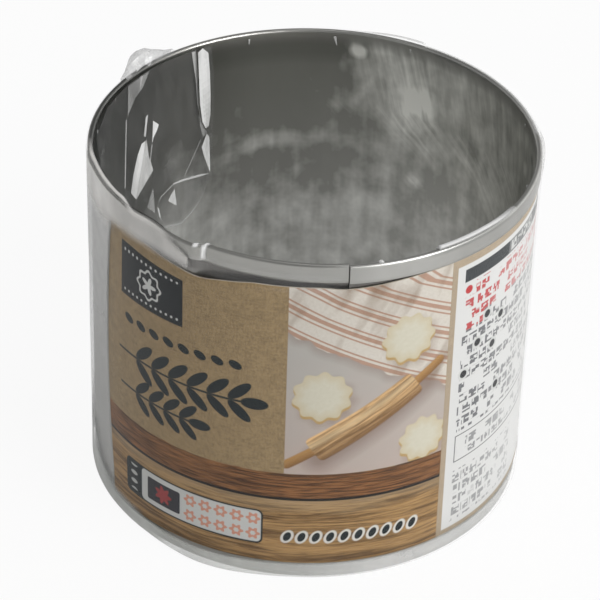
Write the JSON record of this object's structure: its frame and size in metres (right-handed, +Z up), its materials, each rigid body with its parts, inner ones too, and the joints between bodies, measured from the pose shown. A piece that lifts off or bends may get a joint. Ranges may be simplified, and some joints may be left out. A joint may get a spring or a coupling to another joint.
{
  "type": "pastry ring",
  "caption": "Round open-ended steel ring for shaping pastry, with a flat folded hem at its upper edge, in a wrapped card label and clear film.",
  "frame": {"origin": "on the ring's axis, in the plane of its lower edge", "axes": "+Z up along the ring's axis, towards the hem; -Y is the side that the label's front panels face"},
  "size_m": [0.0602, 0.06, 0.0516],
  "materials": {
    "steel": "satin rolled sheet",
    "card": "printed, brown with pale and wooden panels",
    "film": "clear, glossy"
  },
  "bodies": {
    "root": {"ring_band": "steel", "label_wrap": "card", "film_collar": "film", "film_tuck": "film", "film_ear": "film"}
  },
  "joints": []
}
